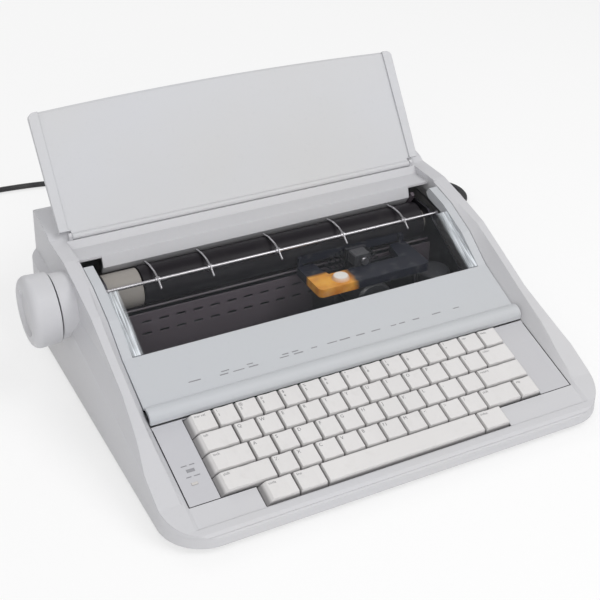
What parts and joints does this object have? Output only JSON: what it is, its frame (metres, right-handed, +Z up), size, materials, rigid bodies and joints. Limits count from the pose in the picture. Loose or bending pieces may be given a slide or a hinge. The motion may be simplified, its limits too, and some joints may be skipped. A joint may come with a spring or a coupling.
{
  "type": "electronic typewriter",
  "caption": "Desk electronic typewriter with stepped keyboard, hinged cover and window, type-wheel carriage, platen with knob, folding paper support and mains cord.",
  "frame": {"origin": "on the table, midway between the four feet", "axes": "+X to the machine's right, +Y to the rear, +Z up; the keys face -Y"},
  "size_m": [0.5966, 0.741, 0.21],
  "materials": {
    "case_plastic": "fine-grained light grey moulding, slightly sun-aged",
    "deck_plastic": "fine-grained grey moulding",
    "key_plastic": null,
    "cover_plastic": "fine-grained light grey moulding",
    "support_plastic": "fine-grained light grey moulding",
    "window_clear": "clear acrylic, lightly hazed",
    "rubber_black": "dark, slightly shiny",
    "foot_rubber": "matt black",
    "steel_plate": "zinc-plated sheet",
    "steel_bright": "bright plated",
    "screw_steel": "zinc-plated",
    "charcoal_plastic": "dark charcoal moulding",
    "beige_plastic": "beige-grey moulding",
    "white_plastic": "white acetal gears and pulleys",
    "motor_dark": "dark motor can",
    "orange_plastic": "translucent orange cassette",
    "board_green": "lacquered circuit board",
    "transformer_steel": "varnished laminations",
    "lamp_lens": "pale lamp lens",
    "switch_black": "black rocker",
    "cord_black": "black flexible sheath",
    "plug_black": "black moulded plug"
  },
  "bodies": {
    "machine_body": {"upper_case": "case_plastic", "lower_case": "case_plastic", "rubber_feet": "foot_rubber", "case_screws": "screw_steel", "keyboard_deck": "deck_plastic", "status_light": "lamp_lens", "keyboard_plate": "steel_plate", "mechanism_frame": "steel_plate", "platen_bearings": "beige_plastic", "feed_motor": "motor_dark", "paper_pan": "charcoal_plastic", "paper_deflector": "charcoal_plastic", "carriage_rails": "steel_bright", "carriage_belt": "rubber_black", "carriage_motor": "motor_dark", "main_board": "board_green", "transformer": "transformer_steel", "cord_strain_relief": "cord_black", "power_cord": "cord_black", "cord_coil": "cord_black", "power_plug": "plug_black"},
    "cover": {"top_cover": "cover_plastic", "window": "window_clear"},
    "support": {"paper_support": "support_plastic"},
    "platen": {"platen_roller": "rubber_black", "platen_shaft": "steel_bright", "platen_knob": "case_plastic", "platen_gear": "white_plastic"},
    "pinion": {"feed_pinion": "white_plastic"},
    "feed_shaft": {"feed_rollers": "rubber_black"},
    "bail": {"paper_bail": "steel_bright", "bail_fingers": "steel_bright"},
    "release_lever": {"paper_release_lever": "charcoal_plastic"},
    "carriage": {"carriage_frame": "steel_plate", "wheel_motor": "motor_dark", "hammer_solenoid": "motor_dark", "ribbon_cassette": "orange_plastic"},
    "type_wheel": {"print_wheel": "white_plastic"},
    "hammer_pin": {"hammer": "steel_bright"},
    "drive_wheel": {"drive_pulley": "white_plastic"},
    "idler_wheel": {"idler_pulley": "white_plastic"},
    "switch_rocker": {"power_switch": "switch_black"},
    "margin_key": {"margin_key": "key_plastic"},
    "correction_key": {"correction_key": "key_plastic"},
    "backspace_key": {"backspace_key": "key_plastic"},
    "tab_key": {"tab_key": "key_plastic"},
    "relocate_key": {"relocate_key": "key_plastic"},
    "lock_key": {"lock_key": "key_plastic"},
    "return_key": {"return_key": "key_plastic"},
    "left_shift_key": {"left_shift_key": "key_plastic"},
    "right_shift_key": {"right_shift_key": "key_plastic"},
    "repeat_key": {"repeat_key": "key_plastic"},
    "code_key": {"code_key": "key_plastic"},
    "line_key": {"line_key": "key_plastic"},
    "space_bar": {"space_bar": "key_plastic"},
    "index_key": {"index_key": "key_plastic"},
    "number_row_keys": {"number_row_keys": "key_plastic"},
    "upper_row_keys": {"upper_row_keys": "key_plastic"},
    "home_row_keys": {"home_row_keys": "key_plastic"},
    "lower_row_keys": {"lower_row_keys": "key_plastic"}
  },
  "joints": [
    {"name": "cover_hinge", "type": "hinge", "parent": "machine_body", "child": "cover", "pos_m": [0, 0.075, 0.1045], "axis": [-1, 0, 0], "range_deg": [0, 70]},
    {"name": "support_hinge", "type": "hinge", "parent": "machine_body", "child": "support", "pos_m": [0, 0.1183, 0.1174], "axis": [-1, 0, 0], "range_deg": [-124, 0]},
    {"name": "platen_turn", "type": "hinge", "parent": "machine_body", "child": "platen", "pos_m": [0, 0.076, 0.0795], "axis": [1, 0, 0], "continuous": true},
    {"name": "pinion_turn", "type": "hinge", "parent": "machine_body", "child": "pinion", "pos_m": [-0.166, 0.076, 0.0524], "axis": [1, 0, 0], "continuous": true},
    {"name": "feed_turn", "type": "hinge", "parent": "machine_body", "child": "feed_shaft", "pos_m": [0, 0.0883, 0.0582], "axis": [1, 0, 0], "continuous": true},
    {"name": "bail_swing", "type": "hinge", "parent": "machine_body", "child": "bail", "pos_m": [0, 0.064, 0.057], "axis": [1, 0, 0], "range_deg": [0, 15], "stiffness_Nm_per_rad": 0.6, "springref_deg": -17.19},
    {"name": "release_swing", "type": "hinge", "parent": "machine_body", "child": "release_lever", "pos_m": [0.155, 0.099, 0.067], "axis": [1, 0, 0], "range_deg": [0, 12]},
    {"name": "carriage_slide", "type": "slide", "parent": "machine_body", "child": "carriage", "axis": [1, 0, 0], "range_m": [-0.165, 0.01]},
    {"name": "wheel_turn", "type": "hinge", "parent": "carriage", "child": "type_wheel", "pos_m": [0.07, 0.052, 0.049], "axis": [0, 1, 0], "continuous": true},
    {"name": "hammer_strike", "type": "slide", "parent": "carriage", "child": "hammer_pin", "axis": [0, 1, 0], "range_m": [0, 0.0025], "stiffness_N_per_m": 120, "springref_m": -0.002},
    {"name": "drive_turn", "type": "hinge", "parent": "machine_body", "child": "drive_wheel", "pos_m": [0.141, 0.023, 0.02], "axis": [0, 0, 1], "range_deg": [-1500, 100]},
    {"name": "idler_turn", "type": "hinge", "parent": "machine_body", "child": "idler_wheel", "pos_m": [-0.141, 0.023, 0.02], "axis": [0, 0, 1], "range_deg": [-1500, 100]},
    {"name": "switch_rock", "type": "hinge", "parent": "machine_body", "child": "switch_rocker", "pos_m": [-0.15, 0.1676, 0.041], "axis": [1, 0, 0], "range_deg": [0, 8]},
    {"name": "margin_key_press", "type": "slide", "parent": "machine_body", "child": "margin_key", "axis": [0, 0.284, -0.9588], "range_m": [0, 0.0035], "stiffness_N_per_m": 150, "springref_m": -0.002},
    {"name": "correction_key_press", "type": "slide", "parent": "machine_body", "child": "correction_key", "axis": [0, 0.284, -0.9588], "range_m": [0, 0.0035], "stiffness_N_per_m": 150, "springref_m": -0.002},
    {"name": "backspace_key_press", "type": "slide", "parent": "machine_body", "child": "backspace_key", "axis": [0, 0.284, -0.9588], "range_m": [0, 0.0035], "stiffness_N_per_m": 150, "springref_m": -0.002},
    {"name": "tab_key_press", "type": "slide", "parent": "machine_body", "child": "tab_key", "axis": [0, 0.284, -0.9588], "range_m": [0, 0.0035], "stiffness_N_per_m": 150, "springref_m": -0.002},
    {"name": "relocate_key_press", "type": "slide", "parent": "machine_body", "child": "relocate_key", "axis": [0, 0.284, -0.9588], "range_m": [0, 0.0035], "stiffness_N_per_m": 150, "springref_m": -0.002},
    {"name": "lock_key_press", "type": "slide", "parent": "machine_body", "child": "lock_key", "axis": [0, 0.284, -0.9588], "range_m": [0, 0.0035], "stiffness_N_per_m": 150, "springref_m": -0.002},
    {"name": "return_key_press", "type": "slide", "parent": "machine_body", "child": "return_key", "axis": [0, 0.284, -0.9588], "range_m": [0, 0.0035], "stiffness_N_per_m": 150, "springref_m": -0.002},
    {"name": "left_shift_key_press", "type": "slide", "parent": "machine_body", "child": "left_shift_key", "axis": [0, 0.284, -0.9588], "range_m": [0, 0.0035], "stiffness_N_per_m": 150, "springref_m": -0.002},
    {"name": "right_shift_key_press", "type": "slide", "parent": "machine_body", "child": "right_shift_key", "axis": [0, 0.284, -0.9588], "range_m": [0, 0.0035], "stiffness_N_per_m": 150, "springref_m": -0.002},
    {"name": "repeat_key_press", "type": "slide", "parent": "machine_body", "child": "repeat_key", "axis": [0, 0.284, -0.9588], "range_m": [0, 0.0035], "stiffness_N_per_m": 150, "springref_m": -0.002},
    {"name": "code_key_press", "type": "slide", "parent": "machine_body", "child": "code_key", "axis": [0, 0.284, -0.9588], "range_m": [0, 0.0035], "stiffness_N_per_m": 150, "springref_m": -0.002},
    {"name": "line_key_press", "type": "slide", "parent": "machine_body", "child": "line_key", "axis": [0, 0.284, -0.9588], "range_m": [0, 0.0035], "stiffness_N_per_m": 150, "springref_m": -0.002},
    {"name": "space_bar_press", "type": "slide", "parent": "machine_body", "child": "space_bar", "axis": [0, 0.284, -0.9588], "range_m": [0, 0.0035], "stiffness_N_per_m": 150, "springref_m": -0.002},
    {"name": "index_key_press", "type": "slide", "parent": "machine_body", "child": "index_key", "axis": [0, 0.284, -0.9588], "range_m": [0, 0.0035], "stiffness_N_per_m": 150, "springref_m": -0.002},
    {"name": "number_row_keys_press", "type": "slide", "parent": "machine_body", "child": "number_row_keys", "axis": [0, 0.284, -0.9588], "range_m": [0, 0.0035], "stiffness_N_per_m": 1500, "springref_m": -0.002},
    {"name": "upper_row_keys_press", "type": "slide", "parent": "machine_body", "child": "upper_row_keys", "axis": [0, 0.284, -0.9588], "range_m": [0, 0.0035], "stiffness_N_per_m": 1500, "springref_m": -0.002},
    {"name": "home_row_keys_press", "type": "slide", "parent": "machine_body", "child": "home_row_keys", "axis": [0, 0.284, -0.9588], "range_m": [0, 0.0035], "stiffness_N_per_m": 1500, "springref_m": -0.002},
    {"name": "lower_row_keys_press", "type": "slide", "parent": "machine_body", "child": "lower_row_keys", "axis": [0, 0.284, -0.9588], "range_m": [0, 0.0035], "stiffness_N_per_m": 1500, "springref_m": -0.002}
  ],
  "couplings": [
    {"joint": "pinion_turn", "follows": "platen_turn", "ratio": -2},
    {"joint": "feed_turn", "follows": "platen_turn", "ratio": -2.4714},
    {"joint": "drive_turn", "follows": "carriage_slide", "rad_per_m": 153.85},
    {"joint": "idler_turn", "follows": "carriage_slide", "rad_per_m": 153.85}
  ]
}
